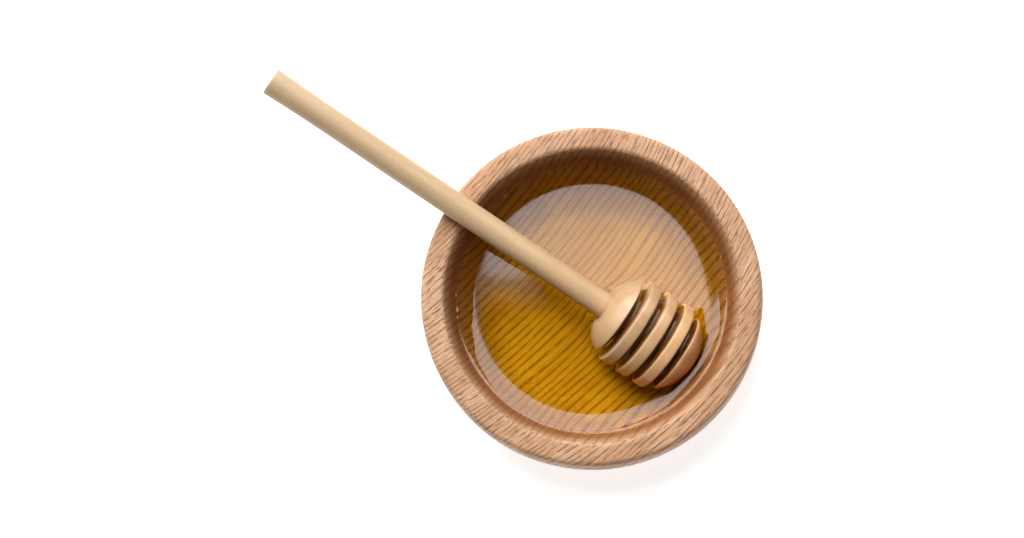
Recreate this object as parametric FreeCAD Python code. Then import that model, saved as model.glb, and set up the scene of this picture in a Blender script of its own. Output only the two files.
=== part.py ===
import FreeCAD, Part
import os
from math import asin, atan2, cos, degrees, hypot, radians, sin, tan

# A small turned wooden bowl with honey in it and a honey dipper lying in the honey.
# Millimetres. The origin is the centre of the bowl's foot and +Z is up.
# The dipper lies along X: its handle leaves over the rim towards -X, and its head is
# near the far wall on the +X side.

# Bowl, turned from one block of wood.
rim_radius = 52.3           # outside of the flat rim
lip_radius = 45.7           # inside of the flat rim, before its edge is rounded
bowl_height = 36.0
floor_height = 9.0          # top of the floor inside
wall_draft = 22.7           # how far the inner wall leans in from upright, degrees
inner_corner_radius = 10.0  # where the inner wall turns into the floor
lip_rounding = 1.2
rim_rounding = 1.4
side_height = 12.0          # from the rim down to the outer side's widest ring
side_swell = 1.0            # how much wider that ring is than the rim
side_fullness = 0.55        # how far the curve below it keeps its direction at each end
foot_radius = 35.0
foot_bevel = 0.8
foot_angle = 18.0           # lean of the side's curve where it meets the foot, degrees

# Honey.
honey_depth = 17.2          # from the floor of the bowl to the surface

# Dipper, turned from one rod.
handle_length = 124.0
handle_radius = 4.0
butt_radius = 4.4
butt_flare = 21.0           # length over which the butt end thins down to the handle
butt_rounding = 0.5
neck_radius = 4.1
shoulder_radius = 6.9       # step where the handle meets the head
shoulder_length = 5.1
shoulder_bulge = 0.8        # how far the shoulder stands proud of a plain cone
shoulder_end_radius = 13.0
groove_core_radius = 5.0
groove_width = 2.6
disc_radii = (14.4, 14.5, 14.3)
disc_thickness = 3.6
cap_radius = 12.6
cap_length = 6.6
edge_rounding = 0.45        # small roundings on the discs and on the cap

# Fits.
rest_gap = 0.3              # between the dipper and what it rests on
heel_inset = 3.1            # the last disc stands this far inside the flat of the floor

Z_AXIS = FreeCAD.Vector(0, 0, 1)
X_AXIS = FreeCAD.Vector(1, 0, 0)
Y_AXIS = FreeCAD.Vector(0, 1, 0)
ORIGIN = FreeCAD.Vector(0, 0, 0)


def inner_radius(height):
    """Radius of the inner wall's straight cone at a height."""
    return lip_radius - (bowl_height - height) * tan(radians(wall_draft))


def floor_flat_radius():
    """Radius at which the flat floor ends and the inner corner starts."""
    corner_run = inner_corner_radius * tan(radians((90 - wall_draft) / 2))
    return inner_radius(floor_height) - corner_run


def lip_round_centre():
    """Radius and height of the middle of the lip's rounding."""
    return (lip_radius + lip_rounding * tan(radians((90 - wall_draft) / 2)),
            bowl_height - lip_rounding)


def round_ring(solid, radius, height, rounding):
    """Round the circular edge that has this radius and lies at this height."""
    rings = [
        edge for edge in solid.Edges
        if isinstance(edge.Curve, Part.Circle)
        and abs(edge.Curve.Radius - radius) < 1e-4
        and abs(edge.Curve.Center.z - height) < 1e-4
    ]
    return solid.makeFillet(rounding, rings)


def upper_side():
    """Outer side from the rim down to its widest ring, where it stands upright."""
    bend = (side_height ** 2 + side_swell ** 2) / (2 * side_swell)
    half_turn = asin(side_height / bend) / 2
    widest_radius = rim_radius + side_swell
    widest_height = bowl_height - side_height
    return Part.Arc(
        FreeCAD.Vector(rim_radius, 0, bowl_height),
        FreeCAD.Vector(
            widest_radius - bend * (1 - cos(half_turn)), 0,
            widest_height + bend * sin(half_turn)),
        FreeCAD.Vector(widest_radius, 0, widest_height)).toShape()


def lower_side():
    """Outer side from its widest ring in to the top of the foot's bevel."""
    widest_radius = rim_radius + side_swell
    widest_height = bowl_height - side_height
    drop = widest_height - foot_bevel
    inset = widest_radius - foot_radius - foot_bevel
    foot_lean = radians(foot_angle)
    curve = Part.BezierCurve()
    curve.setPoles([
        FreeCAD.Vector(widest_radius, 0, widest_height),
        FreeCAD.Vector(widest_radius, 0, widest_height - side_fullness * drop),
        FreeCAD.Vector(
            foot_radius + foot_bevel + side_fullness * inset * cos(foot_lean), 0,
            foot_bevel + side_fullness * inset * sin(foot_lean)),
        FreeCAD.Vector(foot_radius + foot_bevel, 0, foot_bevel),
    ])
    return curve.toShape()


def make_bowl():
    corners = [
        FreeCAD.Vector(foot_radius + foot_bevel, 0, foot_bevel),
        FreeCAD.Vector(foot_radius, 0, 0),
        ORIGIN,
        FreeCAD.Vector(0, 0, floor_height),
        FreeCAD.Vector(inner_radius(floor_height), 0, floor_height),
        FreeCAD.Vector(lip_radius, 0, bowl_height),
        FreeCAD.Vector(rim_radius, 0, bowl_height),
    ]
    outline = Part.Wire(Part.makePolygon(corners).Edges + [upper_side(), lower_side()])
    bowl = Part.Face(outline).revolve(ORIGIN, Z_AXIS, 360)
    bowl = round_ring(bowl, inner_radius(floor_height), floor_height, inner_corner_radius)
    bowl = round_ring(bowl, lip_radius, bowl_height, lip_rounding)
    return round_ring(bowl, rim_radius, bowl_height, rim_rounding)


def disc_starts():
    """Distance of each disc's near face from the butt end."""
    first = handle_length + shoulder_length + groove_width
    pitch = disc_thickness + groove_width
    return [first + pitch * index for index in range(len(disc_radii))]


def dipper_length():
    return disc_starts()[-1] + disc_thickness + groove_width + cap_length


def along(distance, radius):
    """A point of the dipper's outline: how far from the butt end, how far from the axis."""
    return FreeCAD.Vector(distance, 0, radius)


def turned(edges):
    """A solid of revolution about the dipper's axis from an open outline."""
    start = edges[0].Vertexes[0].Point
    finish = edges[-1].Vertexes[-1].Point
    outline = Part.Wire(edges + [Part.makeLine(finish, start)])
    return Part.Face(outline).revolve(ORIGIN, X_AXIS, 360)


def line(start, finish):
    return Part.makeLine(along(*start), along(*finish))


def arc(start, middle, finish):
    return Part.Arc(along(*start), along(*middle), along(*finish)).toShape()


def corner_round(corner, before, after, rounding):
    """Quarter round for a square corner; before and after are steps along the outline."""
    start = (corner[0] - rounding * before[0], corner[1] - rounding * before[1])
    finish = (corner[0] + rounding * after[0], corner[1] + rounding * after[1])
    inset = rounding * (1 - cos(radians(45)))
    middle = (
        corner[0] - inset * before[0] + inset * after[0],
        corner[1] - inset * before[1] + inset * after[1])
    return start, arc(start, middle, finish), finish


def make_handle():
    """The long rod, with its thicker butt end."""
    start, edge_round, finish = corner_round((0, butt_radius), (0, 1), (1, 0), butt_rounding)
    flare_middle = (
        (finish[0] + butt_flare) / 2,
        handle_radius + (butt_radius - handle_radius) / 4)
    return turned([
        line((0, 0), start),
        edge_round,
        arc(finish, flare_middle, (butt_flare, handle_radius)),
        line((butt_flare, handle_radius), (handle_length, neck_radius)),
        line((handle_length, neck_radius), (handle_length, 0)),
    ])


def make_core():
    """The thin core that carries the discs."""
    start = handle_length
    finish = disc_starts()[-1] + disc_thickness + groove_width
    return Part.makeCylinder(groove_core_radius, finish - start, along(start, 0), X_AXIS)


def make_shoulder():
    """The bulging cone between the handle and the first groove."""
    base = handle_length
    end = base + shoulder_length
    near = corner_round((base, shoulder_radius), (0, 1), (1, 0), edge_rounding)
    far = corner_round((end, shoulder_end_radius), (1, 0), (0, -1), 2 * edge_rounding)
    run = far[0][0] - near[2][0]
    rise = far[0][1] - near[2][1]
    slope = hypot(run, rise)
    bulge_point = (
        near[2][0] + run / 2 - shoulder_bulge * rise / slope,
        near[2][1] + rise / 2 + shoulder_bulge * run / slope)
    return turned([
        line((base, 0), near[0]),
        near[1],
        arc(near[2], bulge_point, far[0]),
        far[1],
        line(far[2], (end, 0)),
    ])


def make_disc(start, radius):
    finish = start + disc_thickness
    near = corner_round((start, radius), (0, 1), (1, 0), edge_rounding)
    far = corner_round((finish, radius), (1, 0), (0, -1), edge_rounding)
    return turned([
        line((start, 0), near[0]),
        near[1],
        line(near[2], far[0]),
        far[1],
        line(far[2], (finish, 0)),
    ])


def make_cap():
    """The domed end beyond the last groove."""
    tip = dipper_length()
    start = tip - cap_length
    near = corner_round((start, cap_radius), (0, 1), (1, 0), edge_rounding)
    dome_depth = tip - near[2][0]
    dome_radius = (cap_radius ** 2 + dome_depth ** 2) / (2 * dome_depth)
    centre = tip - dome_radius
    half_turn = atan2(cap_radius, near[2][0] - centre) / 2
    middle = (centre + dome_radius * cos(half_turn), dome_radius * sin(half_turn))
    return turned([
        line((start, 0), near[0]),
        near[1],
        arc(near[2], middle, (tip, 0)),
    ])


def dipper_pose():
    """Tilt in degrees and butt end place of the dipper as it rests.

    The handle lies on the rounded lip and the last disc's edge stands on the floor.
    The tilt is found by halving, because each trial tilt gives one height at the lip.
    """
    heel_distance = disc_starts()[-1] + disc_thickness - edge_rounding
    heel_radius = disc_radii[-1]
    heel_x = floor_flat_radius() - heel_inset
    lip_reach, lip_z = lip_round_centre()
    reach = lip_rounding + handle_radius + rest_gap
    low, high = 0.0, radians(60)
    for _ in range(60):
        tilt = (low + high) / 2
        heel_axis_x = heel_x + heel_radius * sin(tilt)
        heel_axis_z = floor_height + rest_gap + heel_radius * cos(tilt)
        # Distance from the axis line to the middle of the lip's rounding.
        over = (heel_axis_z - lip_z) * cos(tilt) - (-lip_reach - heel_axis_x) * sin(tilt)
        if over < reach:
            low = tilt
        else:
            high = tilt
    butt_x = heel_axis_x - heel_distance * cos(tilt)
    butt_z = heel_axis_z + heel_distance * sin(tilt)
    return degrees(tilt), FreeCAD.Vector(butt_x, 0, butt_z)


def make_dipper():
    pieces = [make_core(), make_shoulder(), make_cap()]
    pieces += [make_disc(start, radius) for start, radius in zip(disc_starts(), disc_radii)]
    dipper = make_handle().multiFuse(pieces).removeSplitter()
    tilt, butt = dipper_pose()
    dipper.rotate(ORIGIN, Y_AXIS, tilt)
    dipper.translate(butt)
    return dipper.Solids[0]


def make_honey(bowl, dipper):
    """Fills the bowl to its level and leaves out what the dipper takes up."""
    filled = Part.makeCylinder(lip_radius, honey_depth, FreeCAD.Vector(0, 0, floor_height))
    return filled.cut(bowl).cut(dipper).Solids[0]


def main():
    os.makedirs("parts", exist_ok=True)
    bowl = make_bowl()
    dipper = make_dipper()
    honey = make_honey(bowl, dipper)
    for name, solid in (("bowl", bowl), ("honey", honey), ("dipper", dipper)):
        solid.exportStep(f"parts/{name}.step")
        box = solid.BoundBox
        print(name, solid.isValid(), len(solid.Faces), round(solid.Volume / 1000, 2), "cm3",
              [round(value, 2) for value in (box.XMin, box.YMin, box.ZMin, box.XMax, box.YMax, box.ZMax)])
    print("tilt", round(dipper_pose()[0], 2))


main()
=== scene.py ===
from math import atan2, cos, exp, pi, radians, sin, tan

import bmesh
import bpy
from mathutils import Matrix, Vector, geometry, noise
from mathutils.bvhtree import BVHTree


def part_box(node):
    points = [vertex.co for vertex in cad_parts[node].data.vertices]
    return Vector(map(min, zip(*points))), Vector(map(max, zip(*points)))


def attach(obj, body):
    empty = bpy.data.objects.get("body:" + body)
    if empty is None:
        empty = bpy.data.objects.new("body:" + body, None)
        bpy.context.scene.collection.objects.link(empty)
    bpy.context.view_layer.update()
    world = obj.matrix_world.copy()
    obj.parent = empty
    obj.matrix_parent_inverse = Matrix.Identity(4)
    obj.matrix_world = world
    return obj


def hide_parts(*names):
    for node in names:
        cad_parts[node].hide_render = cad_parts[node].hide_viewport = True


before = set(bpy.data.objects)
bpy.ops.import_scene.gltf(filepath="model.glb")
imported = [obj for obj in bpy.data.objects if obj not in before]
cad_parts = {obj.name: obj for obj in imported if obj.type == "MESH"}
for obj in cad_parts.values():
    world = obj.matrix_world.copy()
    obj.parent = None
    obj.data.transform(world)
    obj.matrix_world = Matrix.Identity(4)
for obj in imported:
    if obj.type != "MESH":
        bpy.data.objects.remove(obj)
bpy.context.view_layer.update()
MM = 0.001

# ---------------------------------------------------------------------------------
# The bowl. One block of pinkish open-pored hardwood, turned on a lathe with a flat
# rim, leaning inner walls and a thick floor, then sanded and left without varnish.
# The part of its wood that lies under the honey is soaked and looks darker, with painted
# shade on its walls; the inner wall above the honey is tinted darker towards it.

bowl_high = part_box("bowl")[1]
honey_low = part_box("honey")[0]
SIDE_SWELL = 1.0 * MM
RIM_RADIUS = bowl_high.x - SIDE_SWELL
BOWL_HEIGHT = bowl_high.z
FLOOR_HEIGHT = honey_low.z
HONEY_DEPTH = 17.2 * MM
HONEY_LEVEL = FLOOR_HEIGHT + HONEY_DEPTH
WALL_DRAFT = radians(22.7)
SIDE_HEIGHT = 12 * MM
SIDE_FULLNESS = 0.55
FOOT_RADIUS = 35 * MM
FOOT_BEVEL = 0.8 * MM
FOOT_ANGLE = radians(18)
INNER_CORNER_RADIUS = 10 * MM
LIP_ROUNDING = 1.2 * MM
LIP_SPREAD = 1.3
RIM_ROUNDING = 1.4 * MM
LIP_RADIUS = 45.7 * MM
WALL_STEP = 1.25 * MM
BOWL_TURNS = 240
WELD = 0.004 * MM
CREASE = radians(50)
OUT_OF_ROUND = 0.12 * MM
OUT_OF_ROUND_RATE = 45
SOAKED_ABOVE_LEVEL = 1.0 * MM
SURFACE_SLACK = 0.3 * MM
GRAIN_ANGLE = radians(82)
GRAIN_BEND = 2.6
GRAIN_DRIFT = 7 * MM
GRAIN_RISE = 0.12
FINE_RINGS = 2.15


def wall_radius(height):
    """Radius of the straight inner wall at a height."""
    return LIP_RADIUS - (BOWL_HEIGHT - height) * tan(WALL_DRAFT)


def outline(points):
    """A chain of vertices and edges through (across, up) points in the XZ plane."""
    chain = bmesh.new()
    corners = [chain.verts.new((across, 0, up)) for across, up in points]
    for start, end in zip(corners, corners[1:]):
        chain.edges.new((start, end))
    return chain, corners


def round_corner(chain, corner, size, segments=5):
    """Rounds one corner of an outline; size is how far the rounding reaches along each side."""
    bmesh.ops.bevel(
        chain, geom=[corner], offset=size, offset_type="OFFSET", segments=segments,
        profile=0.5, affect="VERTICES", material=-1)


def divide_long_edges(chain, step):
    """Cuts every edge into pieces no longer than about one step."""
    for edge in list(chain.edges):
        cuts = int(edge.calc_length() / step)
        if cuts:
            bmesh.ops.subdivide_edges(chain, edges=[edge], cuts=cuts)


def turn(chain, axis, turns):
    """Spins an outline a full turn about an axis through the origin and closes the skin."""
    bmesh.ops.spin(
        chain, geom=chain.verts[:] + chain.edges[:], axis=axis, cent=(0, 0, 0),
        angle=2 * pi, steps=turns, use_merge=True, use_duplicate=False)
    bmesh.ops.remove_doubles(chain, verts=chain.verts, dist=WELD)
    bmesh.ops.recalc_face_normals(chain, faces=chain.faces)


def finished(name, mesh_maker, materials):
    """Makes the object, with smooth shading except at sharp edges."""
    data = bpy.data.meshes.new(name)
    mesh_maker.to_mesh(data)
    mesh_maker.free()
    for material in materials:
        data.materials.append(material)
    data.shade_smooth()
    data.set_sharp_from_angle(angle=CREASE)
    piece = bpy.data.objects.new(name, data)
    bpy.context.scene.collection.objects.link(piece)
    return piece


def node(tree, kind, inputs=None, **settings):
    """Adds a node; inputs holds plain values or the sockets to link, by name or number."""
    made = tree.nodes.new(kind)
    for setting, value in settings.items():
        setattr(made, setting, value)
    for key, value in (inputs or {}).items():
        if isinstance(value, bpy.types.NodeSocket):
            tree.links.new(value, made.inputs[key])
        else:
            made.inputs[key].default_value = value
    return made


def maths(tree, operation, first, second=0.0, third=0.0):
    """One sum, product or other operation on values."""
    made = node(tree, "ShaderNodeMath", {0: first, 1: second, 2: third}, operation=operation)
    return made.outputs[0]


def ramp(tree, value, low, high, out_low=0.0, out_high=1.0):
    """Smooth change from out_low to out_high as the value goes from low to high."""
    made = node(
        tree, "ShaderNodeMapRange",
        {0: value, 1: low, 2: high, 3: out_low, 4: out_high}, interpolation_type="SMOOTHSTEP")
    return made.outputs[0]


def blended(tree, share, first, second, blend="MIX"):
    """Mixes two colours by a share."""
    made = node(
        tree, "ShaderNodeMix", {0: share, 6: first, 7: second}, data_type="RGBA", blend_type=blend)
    return made.outputs[2]


def new_material(name):
    """An empty material and its node tree."""
    material = bpy.data.materials.new(name)
    material.use_nodes = True
    material.node_tree.nodes.clear()
    return material, material.node_tree


def scaled(tree, places, length, width):
    """Grain places with the rod-like cells of one pattern: their length and width set its scale."""
    along, across, up = places
    return node(tree, "ShaderNodeCombineXYZ", {
        0: maths(tree, "DIVIDE", along, length),
        1: maths(tree, "DIVIDE", across, width),
        2: maths(tree, "DIVIDE", up, width)}).outputs[0]


def streaks(tree, places, length, width, detail=2.0):
    """Noise drawn out along the grain, from 0 to 1."""
    return node(tree, "ShaderNodeTexNoise", {
        "Vector": scaled(tree, places, length, width), "Scale": 1.0, "Detail": detail}).outputs[0]


def tinted(tree, value, colour):
    """Multiplies a colour by a grey value."""
    grey = node(tree, "ShaderNodeCombineColor", {0: value, 1: value, 2: value}).outputs[0]
    return blended(tree, 1.0, colour, grey, "MULTIPLY")


def turned_wood(name, colours, ring_step, line_edge, line_gaps, line_share, pore_share,
                relief_depth, roughness, height_tint=None):
    """Open-pored wood: growth lines, rows of dark pores and fine fibres along the grain.

    A lower line_edge makes wider lines, and line_gaps is how dark they stay where they
    break. A height_tint is a tint and the two heights between which it grows to its full
    strength; on the soaked wood it is painted shade on the walls under the honey.
    """
    pale, warm, line, pore = colours
    material, tree = new_material(name)
    place = node(tree, "ShaderNodeTexCoord").outputs["Object"]
    grain = node(tree, "ShaderNodeMapping", {0: place, 2: (0, 0, -GRAIN_ANGLE)}).outputs[0]
    along, across, up = node(tree, "ShaderNodeSeparateXYZ", {0: grain}).outputs[:3]

    # The rings bend, drift slowly along the board and lean a little with height. The two
    # numbers of a ramp are the noise levels at which a mark starts to show and is full.
    bend = maths(tree, "MULTIPLY", maths(tree, "MULTIPLY", along, along), GRAIN_BEND)
    straight = (
        along, maths(tree, "SUBTRACT", across, bend), maths(tree, "MULTIPLY", up, 0.25))
    wander = streaks(tree, straight, length=90 * MM, width=15 * MM)
    level_across = maths(tree, "MULTIPLY_ADD", wander, GRAIN_DRIFT, straight[1])
    places = (along, level_across, up)
    ring_place = maths(tree, "MULTIPLY_ADD", up, GRAIN_RISE, level_across)
    ring_rate = 2 * pi / ring_step
    ring_wave = maths(tree, "SINE", maths(tree, "MULTIPLY", ring_place, ring_rate))
    fine_wave = maths(tree, "SINE", maths(tree, "MULTIPLY", ring_place, FINE_RINGS * ring_rate))
    broken = streaks(tree, places, length=4 * MM, width=1.1 * MM)
    patch = streaks(tree, places, length=26 * MM, width=6 * MM)
    ring = maths(
        tree, "MULTIPLY", ramp(tree, ring_wave, line_edge, 1.0),
        ramp(tree, broken, 0.36, 0.54, line_gaps, 1.0))
    fine_ring = maths(
        tree, "MULTIPLY", ramp(tree, fine_wave, 0.4, 1.0), ramp(tree, patch, 0.45, 0.6))
    lines = maths(tree, "MAXIMUM", ring, maths(tree, "MULTIPLY", fine_ring, 0.55))
    pores = streaks(tree, places, length=3.4 * MM, width=0.42 * MM, detail=1.0)
    pores = ramp(tree, pores, 0.57, 0.68)
    small_pores = streaks(tree, places, length=1.3 * MM, width=0.24 * MM, detail=1.0)
    small_pores = ramp(tree, small_pores, 0.56, 0.68)
    fibre = streaks(tree, places, length=7 * MM, width=0.5 * MM)
    tone = streaks(tree, places, length=30 * MM, width=11 * MM, detail=3.0)

    base = blended(tree, ramp(tree, tone, 0.36, 0.64), pale, warm)
    base = tinted(tree, maths(tree, "MULTIPLY_ADD", fibre, 0.6, 0.7), base)
    base = blended(tree, maths(tree, "MULTIPLY", lines, line_share), base, line)
    base = blended(tree, maths(tree, "MULTIPLY", small_pores, 0.5 * pore_share), base, line)
    base = blended(tree, maths(tree, "MULTIPLY", pores, pore_share), base, pore)
    # The height tint multiplies the colour by a tint that grows between two heights; on the soaked
    # wood it is painted shade.
    if height_tint:
        tint, start, full = height_tint
        deepening = ramp(tree, up, start, full)
        height_tint_colour = blended(tree, deepening, (1, 1, 1, 1), tint)
        base = blended(tree, 1.0, base, height_tint_colour, "MULTIPLY")

    hollow = maths(tree, "MAXIMUM", pores, maths(tree, "MULTIPLY", small_pores, 0.5))
    relief = maths(tree, "SUBTRACT", maths(tree, "MULTIPLY", fibre, 0.3), hollow)
    bump = node(tree, "ShaderNodeBump", {
        "Height": relief, "Strength": 0.6, "Distance": relief_depth})
    shader = node(tree, "ShaderNodeBsdfPrincipled", {
        "Base Color": base, "Roughness": roughness, "Specular IOR Level": 0.3,
        "Normal": bump.outputs[0]})
    node(tree, "ShaderNodeOutputMaterial", {0: shader.outputs[0]})
    return material


def bowl_outline():
    """Half section of the bowl, from the middle of its foot round to the middle of its floor."""
    widest_height = BOWL_HEIGHT - SIDE_HEIGHT
    widest_radius = RIM_RADIUS + SIDE_SWELL
    bevel_radius = FOOT_RADIUS + FOOT_BEVEL
    inset = widest_radius - bevel_radius
    lower_side = geometry.interpolate_bezier(
        Vector((bevel_radius, 0, FOOT_BEVEL)),
        Vector((bevel_radius + SIDE_FULLNESS * inset * cos(FOOT_ANGLE), 0,
                FOOT_BEVEL + SIDE_FULLNESS * inset * sin(FOOT_ANGLE))),
        Vector((widest_radius, 0, widest_height - SIDE_FULLNESS * (widest_height - FOOT_BEVEL))),
        Vector((widest_radius, 0, widest_height)), 28)
    points = [(0, 0), (FOOT_RADIUS, 0)] + [(spot.x, spot.z) for spot in lower_side]
    for step in range(1, 6):
        share = step / 6
        points.append((widest_radius - SIDE_SWELL * share ** 2, widest_height + SIDE_HEIGHT * share))
    rim_at = len(points)
    points += [
        (RIM_RADIUS, BOWL_HEIGHT), (LIP_RADIUS, BOWL_HEIGHT),
        (wall_radius(FLOOR_HEIGHT), FLOOR_HEIGHT), (0, FLOOR_HEIGHT)]
    chain, corners = outline(points)
    half_corner = (pi / 2 - WALL_DRAFT) / 2
    round_corner(chain, corners[rim_at + 2], INNER_CORNER_RADIUS * tan(half_corner), 10)
    round_corner(chain, corners[rim_at + 1], LIP_SPREAD * LIP_ROUNDING * tan(half_corner))
    round_corner(chain, corners[rim_at], RIM_ROUNDING)
    return chain


def wood_at(spot):
    """Which wood shows at a place: 0 dry, 1 the inner wall above the honey, darker towards it, 2
    soaked under the honey, with painted shade on its walls.
    """
    inside = Vector((spot.x, spot.y)).length < wall_radius(spot.z) + SURFACE_SLACK
    if not inside or spot.z < FLOOR_HEIGHT - SURFACE_SLACK:
        return 0
    return 2 if spot.z < HONEY_LEVEL + SOAKED_ABOVE_LEVEL else 1


bowl_mesh = bowl_outline()
divide_long_edges(bowl_mesh, WALL_STEP)
turn(bowl_mesh, (0, 0, 1), BOWL_TURNS)
for vertex in bowl_mesh.verts:
    if vertex.co.z > FOOT_BEVEL:
        sway = noise.noise(vertex.co * OUT_OF_ROUND_RATE)
        vertex.co.x += sway * OUT_OF_ROUND * vertex.co.x / RIM_RADIUS
        vertex.co.y += sway * OUT_OF_ROUND * vertex.co.y / RIM_RADIUS
for face in bowl_mesh.faces:
    face.material_index = wood_at(face.calc_center_median())
# Each set of colours is the pale wood, the warm wood, the growth lines and the pores.
dry_colours = (
    (0.585, 0.352, 0.205, 1), (0.515, 0.288, 0.155, 1),
    (0.16, 0.066, 0.028, 1), (0.12, 0.047, 0.022, 1))
soaked_colours = (
    (0.39, 0.250, 0.13, 1), (0.335, 0.200, 0.10, 1),
    (0.12, 0.050, 0.016, 1), (0.14, 0.06, 0.02, 1))
bowl_wood = turned_wood(
    "bowl_wood", dry_colours, ring_step=1.5 * MM, line_edge=0.55, line_gaps=0.15,
    line_share=0.85, pore_share=0.5, relief_depth=0.14 * MM, roughness=0.55)
# The inner wall above the honey: the same wood, tinted darker and warmer from the lip down towards
# the honey.
inner_wall_wood = turned_wood(
    "inner_wall_wood", dry_colours, ring_step=1.9 * MM, line_edge=0.4, line_gaps=0.3,
    line_share=0.6, pore_share=0.4, relief_depth=0.08 * MM, roughness=0.4,
    height_tint=((0.56, 0.36, 0.18, 1), BOWL_HEIGHT - 0.5 * MM, HONEY_LEVEL + 4 * MM))
# The soaked wood carries painted shade: its tint darkens the walls under the honey towards the
# honey's level, where they lie in shade.
soaked_wood_with_painted_shade = turned_wood(
    "soaked_wood_with_painted_shade", soaked_colours, ring_step=2.3 * MM, line_edge=0.1, line_gaps=0.55,
    line_share=0.8, pore_share=0.3, relief_depth=0.03 * MM, roughness=0.5,
    height_tint=((0.80, 0.64, 0.5, 1), FLOOR_HEIGHT + 2 * MM, HONEY_LEVEL - 2 * MM))
bowl = finished("turned_bowl", bowl_mesh, [bowl_wood, inner_wall_wood, soaked_wood_with_painted_shade])
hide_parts("bowl")
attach(bowl, "root")

# ---------------------------------------------------------------------------------
# The honey dipper. One pale beech rod, turned to a plain handle with a thicker butt
# end and a head: a shoulder, three discs and a domed cap, parted by deep narrow
# grooves. The handle is dry, lighter and warmer towards the neck from honey soaked in
# and from painted warm light; the head has a thin wet film and painted light that
# brightens it towards the cap, and its grooves are soaked and carry painted shade.

dipper_low, dipper_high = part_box("dipper")
HANDLE_LENGTH = 124 * MM
HANDLE_RADIUS = 4.0 * MM
BUTT_RADIUS = 4.4 * MM
BUTT_FLARE = 21 * MM
NECK_RADIUS = 4.1 * MM
SHOULDER_RADIUS = 6.9 * MM
SHOULDER_LENGTH = 5.1 * MM
SHOULDER_BULGE = 0.8 * MM
BULGE_BACK = 0.66
BULGE_OUT = 0.75
SHOULDER_END_RADIUS = 13.0 * MM
CORE_RADIUS = 5.0 * MM
GROOVE_WIDTH = 2.6 * MM
DISC_RADII = (14.4 * MM, 14.5 * MM, 14.3 * MM)
DISC_THICKNESS = 3.6 * MM
CAP_RADIUS = 12.6 * MM
CAP_LENGTH = 6.6 * MM
EDGE_ROUNDING = 0.5 * MM
DIPPER_TURNS = 128
DIPPER_STEP = 1.2 * MM
WET_NECK = 1 * MM
GROOVE_SLACK = 0.05 * MM
FIBRE_RELIEF = 0.05 * MM
# How many marks a metre holds along the rod and, twice, across it.
STREAK_RATES = (24, 210, 210)
FIBRE_RATES = (260, 4200, 4200)
FLECK_RATES = (520, 2300, 2300)
DIPPER_LENGTH = (
    HANDLE_LENGTH + SHOULDER_LENGTH + 4 * GROOVE_WIDTH + 3 * DISC_THICKNESS + CAP_LENGTH)
DIPPER_TILT = radians(13.03)
# The butt end reaches furthest out and highest up, and so gives the dipper its place.
butt_place = Vector((
    dipper_low.x + BUTT_RADIUS * sin(DIPPER_TILT), 0,
    dipper_high.z - BUTT_RADIUS * cos(DIPPER_TILT)))
dipper_pose = Matrix.Translation(butt_place) @ Matrix.Rotation(DIPPER_TILT, 4, "Y")


def groove_spans():
    """Where each groove starts and ends along the dipper, with its two neighbours' radii."""
    spans = []
    start = HANDLE_LENGTH + SHOULDER_LENGTH
    radii = (SHOULDER_END_RADIUS,) + DISC_RADII + (CAP_RADIUS,)
    for before, after in zip(radii, radii[1:]):
        spans.append((start, start + GROOVE_WIDTH, before, after))
        start += GROOVE_WIDTH + DISC_THICKNESS
    return spans


def dipper_outline():
    """Half section of the dipper along X, from the butt end to the tip."""
    points = [(0, 0), (0, BUTT_RADIUS)]
    for step in range(1, 9):
        share = step / 8
        flare = (BUTT_RADIUS - HANDLE_RADIUS) * (1 - share) ** 2
        points.append((BUTT_FLARE * share, HANDLE_RADIUS + flare))
    points += [(HANDLE_LENGTH, NECK_RADIUS), (HANDLE_LENGTH, SHOULDER_RADIUS)]
    sharp = [1, len(points) - 1]
    rise = SHOULDER_END_RADIUS - SHOULDER_RADIUS
    for step in range(1, 8):
        share = step / 8
        swell = SHOULDER_BULGE * 4 * share * (1 - share)
        points.append((
            HANDLE_LENGTH + SHOULDER_LENGTH * share - swell * BULGE_BACK,
            SHOULDER_RADIUS + rise * share + swell * BULGE_OUT))
    for start, end, before, after in groove_spans():
        sharp.append(len(points))
        points += [(start, before), (start, CORE_RADIUS), (end, CORE_RADIUS)]
        sharp.append(len(points))
        points.append((end, after))
    dome_start = DIPPER_LENGTH - CAP_LENGTH
    dome_depth = CAP_LENGTH - EDGE_ROUNDING
    dome_radius = (CAP_RADIUS ** 2 + dome_depth ** 2) / (2 * dome_depth)
    dome_middle = DIPPER_LENGTH - dome_radius
    widest = atan2(CAP_RADIUS, dome_start + EDGE_ROUNDING - dome_middle)
    for step in range(1, 13):
        turn_angle = widest * (1 - step / 12)
        points.append((dome_middle + dome_radius * cos(turn_angle), dome_radius * sin(turn_angle)))
    chain, corners = outline(points)
    for index in sharp:
        round_corner(chain, corners[index], EDGE_ROUNDING, 3)
    return chain


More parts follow.
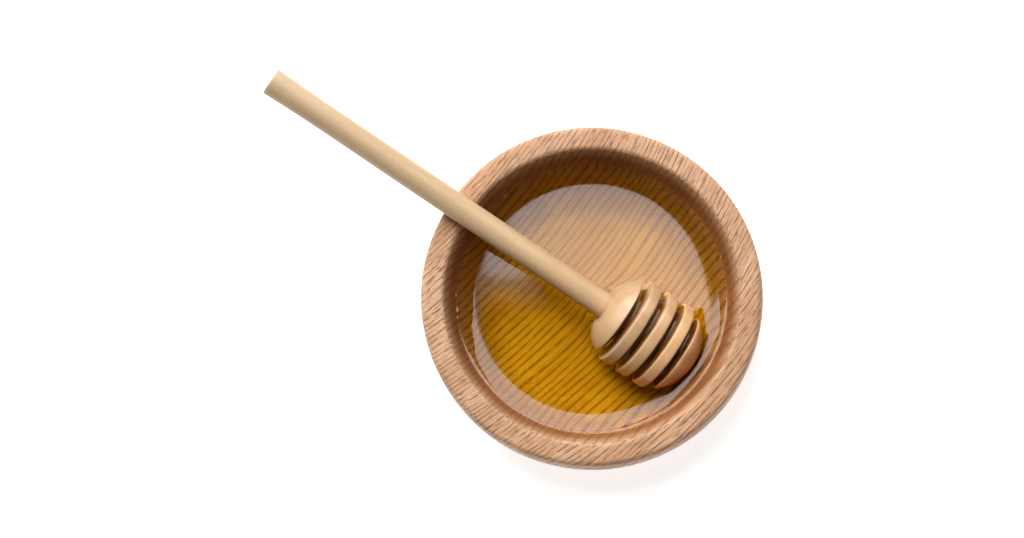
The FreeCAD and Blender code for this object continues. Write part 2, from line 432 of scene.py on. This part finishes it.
def pale_wood(name, pale, warm, fleck, fleck_share, roughness, coat, shade):
    """Close-grained beech: soft long streaks and short fine flecks along the rod.

    A shade is a tint and the two places along the rod between which it grows: painted light on the
    head, and on the handle honey soaked in together with painted warm light.
    """
    material, tree = new_material(name)
    place = node(tree, "ShaderNodeTexCoord").outputs["Object"]
    rod = node(tree, "ShaderNodeMapping", {0: place, 2: (0, -DIPPER_TILT, 0)}).outputs[0]
    streak_place = node(tree, "ShaderNodeMapping", {0: rod, 3: STREAK_RATES}).outputs[0]
    streak = node(tree, "ShaderNodeTexNoise", {
        "Vector": streak_place, "Scale": 1.0, "Detail": 4.0}).outputs[0]
    fibre_place = node(tree, "ShaderNodeMapping", {0: rod, 3: FIBRE_RATES}).outputs[0]
    fibre = node(tree, "ShaderNodeTexNoise", {
        "Vector": fibre_place, "Scale": 1.0, "Detail": 2.0}).outputs[0]
    cells = node(tree, "ShaderNodeMapping", {0: rod, 3: FLECK_RATES}).outputs[0]
    gap = node(tree, "ShaderNodeTexVoronoi", {"Vector": cells, "Scale": 1.0}).outputs["Distance"]
    flecks = ramp(tree, gap, 0.3, 0.12)
    base = blended(tree, ramp(tree, streak, 0.34, 0.68), pale, warm)
    rod_along = node(tree, "ShaderNodeSeparateXYZ", {0: rod}).outputs[0]
    tint, start, full = shade
    base = blended(tree, ramp(tree, rod_along, start, full), base, tint, "MULTIPLY")
    base = tinted(tree, maths(tree, "MULTIPLY_ADD", fibre, 0.2, 0.9), base)
    base = blended(tree, maths(tree, "MULTIPLY", flecks, fleck_share), base, fleck)
    relief = maths(tree, "SUBTRACT", maths(tree, "MULTIPLY", fibre, 0.5), flecks)
    bump = node(tree, "ShaderNodeBump", {
        "Height": relief, "Strength": 0.3, "Distance": FIBRE_RELIEF})
    shader = node(tree, "ShaderNodeBsdfPrincipled", {
        "Base Color": base, "Roughness": roughness, "Specular IOR Level": 0.4,
        "Coat Weight": coat, "Coat Roughness": 0.15, "Coat IOR": 1.49, "Normal": bump.outputs[0]})
    node(tree, "ShaderNodeOutputMaterial", {0: shader.outputs[0]})
    return material


def dipper_wood_at(spot):
    """Which wood shows at a place of the untilted dipper: 0 handle, 1 head, 2 groove."""
    radius = Vector((spot.y, spot.z)).length
    for start, end, before, after in groove_spans():
        within = start - GROOVE_SLACK < spot.x < end + GROOVE_SLACK
        if within and radius < min(before, after) - 2 * EDGE_ROUNDING:
            return 2
    return int(spot.x > HANDLE_LENGTH - WET_NECK)


dipper_mesh = dipper_outline()
divide_long_edges(dipper_mesh, DIPPER_STEP)
turn(dipper_mesh, (1, 0, 0), DIPPER_TURNS)
for face in dipper_mesh.faces:
    face.material_index = dipper_wood_at(face.calc_center_median())
bmesh.ops.transform(dipper_mesh, matrix=dipper_pose, verts=dipper_mesh.verts)
# The handle's tint makes it lighter and warmer towards the neck: part honey soaked into the wood,
# part painted warm light bounced from the honey.
handle_wood = pale_wood(
    "handle_wood", pale=(0.535, 0.39, 0.235, 1), warm=(0.495, 0.335, 0.185, 1),
    fleck=(0.33, 0.19, 0.09, 1), fleck_share=0.4, roughness=0.5, coat=0.0,
    shade=((1.14, 1.06, 0.98, 1), -0.11, 0.0))
# Painted light: the head's tint makes it lighter towards the cap, which is turned away from the
# lamps.
head_wood_painted_light = pale_wood(
    "head_wood_painted_light", pale=(0.57, 0.372, 0.20, 1), warm=(0.51, 0.312, 0.155, 1),
    fleck=(0.32, 0.155, 0.06, 1), fleck_share=0.4, roughness=0.4, coat=0.35,
    shade=((1.45, 1.3, 1.2, 1), 0.004, 0.030))
# Soaked wood in the grooves, made darker than soaked wood alone as painted shade for the deep narrow
# grooves.
groove_wood_painted_shade = pale_wood(
    "groove_wood_painted_shade", pale=(0.34, 0.15, 0.045, 1), warm=(0.27, 0.11, 0.03, 1),
    fleck=(0.2, 0.08, 0.03, 1), fleck_share=0.3, roughness=0.4, coat=0.0,
    shade=((1, 1, 1, 1), 0.0, 0.03))
dipper = finished("honey_dipper", dipper_mesh, [handle_wood, head_wood_painted_light, groove_wood_painted_shade])
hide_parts("dipper")
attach(dipper, "root")

# ---------------------------------------------------------------------------------
# The honey. Clear, golden and thick: it fills the bowl to its level, creeps a little
# up the wood wherever it meets it, and hangs in the grooves of the dipper's head.
# Its skin reaches just into the wood, so no air shows between them.

INTO_WOOD = 0.25 * MM
CREEP_HEIGHT = 1.8 * MM
CREEP_REACH = 1.9 * MM
DIPPER_CREEP_HEIGHT = 0.8 * MM
DIPPER_CREEP_REACH = 1.4 * MM
EDGE_BAND = 8 * MM
EDGE_RINGS = 40
EDGE_GATHERING = 1.4
CAP_TAPER = 0.8
POOL_STEP = 0.7 * MM
POOL_TURNS = 360
GROOVE_SAG = 1.3 * MM
GROOVE_DEPTH = 0.9 * MM
GROOVE_DROP = 0.6 * MM
GROOVE_TURNS = 96
LEVEL_SLACK = 0.01 * MM
HONEY_IOR = 1.49


def pool_outline():
    """Half section of the pool, with closer and closer rings towards its edge."""
    edge = wall_radius(HONEY_LEVEL) + INTO_WOOD
    corner = wall_radius(FLOOR_HEIGHT) + INTO_WOOD
    points = [(0, HONEY_LEVEL)]
    for step in range(EDGE_RINGS + 1):
        inset = EDGE_BAND * (1 - step / EDGE_RINGS) ** EDGE_GATHERING
        points.append((edge - inset, HONEY_LEVEL))
    points += [(corner, FLOOR_HEIGHT - INTO_WOOD), (0, FLOOR_HEIGHT - INTO_WOOD)]
    chain, corners = outline(points)
    round_corner(chain, corners[-2], INNER_CORNER_RADIUS * tan((pi / 2 - WALL_DRAFT) / 2), 8)
    return chain


def groove_outline(start, end, before, after):
    """Section of the honey ring in one groove, with a hollow outer face."""
    brim = min(before, after) - GROOVE_DEPTH
    middle = (start + end) / 2
    half = (end - start) / 2 + INTO_WOOD
    inner = CORE_RADIUS - INTO_WOOD
    points = [(middle - half, inner)]
    for step in range(9):
        share = step / 4 - 1
        points.append((middle + half * share, brim - GROOVE_SAG * (1 - share ** 2)))
    points += [(middle + half, inner), (middle - half, inner)]
    return outline(points)[0]


def smooth_dipper():
    """The dipper without its grooves, for working out how the honey creeps up it."""
    head_end = DIPPER_LENGTH - CAP_LENGTH
    points = [
        (0, 0), (0, HANDLE_RADIUS), (HANDLE_LENGTH - SHOULDER_LENGTH, HANDLE_RADIUS),
        (HANDLE_LENGTH, SHOULDER_RADIUS), (HANDLE_LENGTH + SHOULDER_LENGTH, SHOULDER_END_RADIUS),
        (HANDLE_LENGTH + 2 * SHOULDER_LENGTH, max(DISC_RADII)),
        (head_end - GROOVE_WIDTH, max(DISC_RADII)),
        (head_end + CAP_LENGTH / 2, CAP_RADIUS * CAP_TAPER), (DIPPER_LENGTH, 0)]
    body = outline(points)[0]
    turn(body, (1, 0, 0), GROOVE_TURNS)
    bmesh.ops.transform(body, matrix=dipper_pose, verts=body.verts)
    surface = BVHTree.FromBMesh(body)
    body.free()
    return surface


def creep(distance, height, reach):
    """How far the honey's surface climbs at a distance from the wood."""
    return height * exp(-max(distance, 0) / reach)


def clear_honey():
    """Glass-like skin with the colour in its depth; light from lamps passes the skin."""
    material, tree = new_material("clear_honey")
    skin = node(tree, "ShaderNodeBsdfPrincipled", {
        "Base Color": (1.0, 0.93, 0.72, 1), "Roughness": 0.0, "IOR": HONEY_IOR,
        "Transmission Weight": 1.0})
    passing = node(tree, "ShaderNodeBsdfTransparent", {0: (0.98, 0.93, 0.8, 1)})
    ray = node(tree, "ShaderNodeLightPath").outputs["Is Shadow Ray"]
    mixed = node(tree, "ShaderNodeMixShader", {0: ray, 1: skin.outputs[0], 2: passing.outputs[0]})
    depth = node(tree, "ShaderNodeVolumeAbsorption", {
        "Color": (0.975, 0.90, 0.03, 1), "Density": 100.0})
    node(tree, "ShaderNodeOutputMaterial", {0: mixed.outputs[0], 1: depth.outputs[0]})
    return material


honey_material = clear_honey()
pool_mesh = pool_outline()
divide_long_edges(pool_mesh, POOL_STEP)
turn(pool_mesh, (0, 0, 1), POOL_TURNS)
dipper_surface = smooth_dipper()
edge_radius = wall_radius(HONEY_LEVEL)
for vertex in pool_mesh.verts:
    if vertex.co.z < HONEY_LEVEL - LEVEL_SLACK:
        continue
    from_wall = edge_radius - Vector((vertex.co.x, vertex.co.y)).length
    nearest, outward, _, from_dipper = dipper_surface.find_nearest(vertex.co)
    if (vertex.co - nearest).dot(outward) < 0:
        from_dipper = 0
    vertex.co.z += creep(from_wall, CREEP_HEIGHT, CREEP_REACH)
    vertex.co.z += creep(from_dipper, DIPPER_CREEP_HEIGHT, DIPPER_CREEP_REACH)
    if from_wall < 0:
        vertex.co.xy *= (wall_radius(vertex.co.z) + INTO_WOOD) / vertex.co.xy.length
honey = finished("honey_pool", pool_mesh, [honey_material])

for number, span in enumerate(groove_spans(), 1):
    ring_mesh = groove_outline(*span)
    turn(ring_mesh, (1, 0, 0), GROOVE_TURNS)
    sagged_pose = Matrix.Translation((0, 0, -GROOVE_DROP)) @ dipper_pose
    bmesh.ops.transform(ring_mesh, matrix=sagged_pose, verts=ring_mesh.verts)
    ring = finished(f"groove_honey_{number}", ring_mesh, [honey_material])
    join = honey.modifiers.new("groove", "BOOLEAN")
    join.operation = "UNION"
    join.solver = "MANIFOLD"
    join.object = ring
    depsgraph = bpy.context.evaluated_depsgraph_get()
    joined = bpy.data.meshes.new_from_object(honey.evaluated_get(depsgraph))
    honey.modifiers.clear()
    honey.data = joined
    bpy.data.objects.remove(ring)
honey.data.shade_smooth()
honey.data.set_sharp_from_angle(angle=CREASE)
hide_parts("honey")
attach(honey, "root")

# ---------------------------------------------------------------------------------
# The set. A plain pale table, two round soft lamps on the far side, a glowing screen
# that only the wet surfaces mirror, a dim glow low all round, and a camera that looks
# down from almost straight above.

FLOOR_SIZE = 3.0
SET_TURN = radians(34.05)
set_right = Vector((cos(SET_TURN), sin(SET_TURN), 0))
set_far = Vector((-sin(SET_TURN), cos(SET_TURN), 0))

floor_mesh = bmesh.new()
bmesh.ops.create_grid(floor_mesh, x_segments=1, y_segments=1, size=FLOOR_SIZE / 2)
floor_material, floor_tree = new_material("pale_table")
floor_shader = node(floor_tree, "ShaderNodeBsdfPrincipled", {
    "Base Color": (0.8, 0.8, 0.8, 1), "Roughness": 0.8,
    "Emission Color": (1, 1, 1, 1), "Emission Strength": 0.8})
node(floor_tree, "ShaderNodeOutputMaterial", {0: floor_shader.outputs[0]})
floor = finished("table", floor_mesh, [floor_material])

# A wide glowing screen overhead, which the wet surfaces mirror. It widens towards the
# far side and fades at its near edge. Its middle is a brighter panel; near the panel
# the screen is dimmer, most of all on the left.
SCREEN_HEIGHT = 0.8
SCREEN_LEFT_EDGE = ((-0.42, 0.085), (-0.80, 0.26), (-2.9, 1.45), (-5.0, 5.0))
SCREEN_RIGHT_EDGE = ((-0.13, 0.04), (0.17, 0.133), (0.68, 0.458), (2.4, 2.5), (3.5, 5.0))
SCREEN_SLOPE = 0.14
SCREEN_SLOPE_END = -0.1
SCREEN_FADE = (0.070, 0.108)
SCREEN_LIGHT = 4.7
PANEL_LEAN = 0.23
PANEL_SIDES = (-0.054, 0.086)
PANEL_SLOPE = 0.217
PANEL_NEAR = 0.088
PANEL_BLUR = 0.005
LEFT_LIGHT = 0.42
LEFT_AWAY = (0.102, 0.109)
RIGHT_LIGHT = 0.8
RIGHT_ACROSS = (0.0, 0.05)

screen_mesh = bmesh.new()
screen_mesh.faces.new([
    screen_mesh.verts.new(set_right * across + set_far * away + Vector((0, 0, SCREEN_HEIGHT)))
    for across, away in SCREEN_RIGHT_EDGE + SCREEN_LEFT_EDGE[::-1]])
screen_material, screen_tree = new_material("soft_screen")
screen_object = node(screen_tree, "ShaderNodeTexCoord").outputs["Object"]
screen_turned = node(
    screen_tree, "ShaderNodeMapping", {0: screen_object, 2: (0, 0, -SET_TURN)}).outputs[0]
screen_place = node(screen_tree, "ShaderNodeSeparateXYZ", {0: screen_turned})
screen_across, screen_away = screen_place.outputs[:2]
slope_across = maths(screen_tree, "MAXIMUM", screen_across, SCREEN_SLOPE_END)
from_near = maths(screen_tree, "MULTIPLY_ADD", slope_across, SCREEN_SLOPE, screen_away)
faded = ramp(screen_tree, from_near, *SCREEN_FADE)
leaning = maths(screen_tree, "MULTIPLY_ADD", screen_away, PANEL_LEAN, screen_across)
sloping = maths(screen_tree, "MULTIPLY_ADD", screen_across, PANEL_SLOPE, screen_away)
panel = ramp(screen_tree, leaning, PANEL_SIDES[0] - PANEL_BLUR, PANEL_SIDES[0] + PANEL_BLUR)
panel = maths(screen_tree, "MULTIPLY", panel, ramp(
    screen_tree, leaning, PANEL_SIDES[1] + PANEL_BLUR, PANEL_SIDES[1] - PANEL_BLUR))
panel = maths(screen_tree, "MULTIPLY", panel, ramp(
    screen_tree, sloping, PANEL_NEAR - PANEL_BLUR, PANEL_NEAR + PANEL_BLUR))
beside = maths(
    screen_tree, "MAXIMUM", ramp(screen_tree, screen_away, *LEFT_AWAY, LEFT_LIGHT, 1.0),
    ramp(screen_tree, screen_across, *RIGHT_ACROSS, LEFT_LIGHT, RIGHT_LIGHT))
screen_level = maths(screen_tree, "MULTIPLY", faded, maths(screen_tree, "MAXIMUM", panel, beside))
screen_strength = maths(screen_tree, "MULTIPLY", screen_level, SCREEN_LIGHT)
screen_shader = node(screen_tree, "ShaderNodeEmission", {0: (0.98, 0.96, 1.0, 1), 1: screen_strength})
node(screen_tree, "ShaderNodeOutputMaterial", {0: screen_shader.outputs[0]})
screen = finished("soft_screen", screen_mesh, [screen_material])
screen.visible_camera = False
screen.visible_diffuse = False
screen.visible_transmission = False
screen.visible_shadow = False


def soft_lamp(name, azimuth, elevation, distance, size, power):
    """A round soft lamp that looks at the bowl; azimuth is counted from the view's right."""
    lamp = bpy.data.lights.new(name, "AREA")
    lamp.shape = "DISK"
    lamp.size = size
    lamp.energy = power
    made = bpy.data.objects.new(name, lamp)
    bpy.context.scene.collection.objects.link(made)
    level = set_right * cos(azimuth) + set_far * sin(azimuth)
    toward = level * cos(elevation) + Vector((0, 0, sin(elevation)))
    made.location = toward * distance
    made.rotation_euler = toward.to_track_quat("Z", "Y").to_euler()
    made.visible_glossy = False


soft_lamp("key_lamp", azimuth=radians(113), elevation=radians(45), distance=2.4, size=1.5, power=66)
soft_lamp("top_lamp", azimuth=radians(110), elevation=radians(72), distance=2.4, size=0.8, power=32)

# The surround glows only near the table, and is plain white where the camera sees it.
SKY_GLOW = 0.5
SKY_GLOW_HEIGHTS = (0.1, 0.3)
world = bpy.data.worlds.new("studio")
world.use_nodes = True
world_tree = world.node_tree
world_tree.nodes.clear()
sky_up = node(world_tree, "ShaderNodeSeparateXYZ", {
    0: node(world_tree, "ShaderNodeTexCoord").outputs["Generated"]}).outputs[2]
sky_light = ramp(world_tree, sky_up, *SKY_GLOW_HEIGHTS, SKY_GLOW, 0.0)
paths = node(world_tree, "ShaderNodeLightPath")
unmirrored = maths(world_tree, "SUBTRACT", 1.0, paths.outputs["Is Glossy Ray"])
unmirrored_light = maths(world_tree, "MULTIPLY", sky_light, unmirrored)
sky_strength = maths(world_tree, "MAXIMUM", paths.outputs["Is Camera Ray"], unmirrored_light)
sky = node(world_tree, "ShaderNodeBackground", {0: (1, 1, 1, 1), 1: sky_strength})
node(world_tree, "ShaderNodeOutputWorld", {0: sky.outputs[0]})
bpy.context.scene.world = world

CAMERA_PLACE = Vector((42.9, -51.5, 596)) * MM
CAMERA_AIM = Vector((-24.7, -6.6, 36)) * MM
CAMERA_ROLL = radians(33.36)
CAMERA_LENS = 64.5

lens = bpy.data.cameras.new("camera")
lens.lens = CAMERA_LENS
lens.sensor_width = 36
lens.clip_start = 0.01
camera = bpy.data.objects.new("camera", lens)
bpy.context.scene.collection.objects.link(camera)
forward = (CAMERA_AIM - CAMERA_PLACE).normalized()
rightward = forward.cross(Vector((-sin(CAMERA_ROLL), cos(CAMERA_ROLL), 0))).normalized()
upward = rightward.cross(forward)
facing = Matrix((rightward, upward, -forward)).transposed().to_4x4()
camera.matrix_world = Matrix.Translation(CAMERA_PLACE) @ facing
bpy.context.scene.camera = camera

scene = bpy.context.scene
scene.view_settings.view_transform = "Standard"
scene.cycles.use_denoising = True
scene.cycles.max_bounces = 16
scene.cycles.transmission_bounces = 12
scene.cycles.transparent_max_bounces = 16
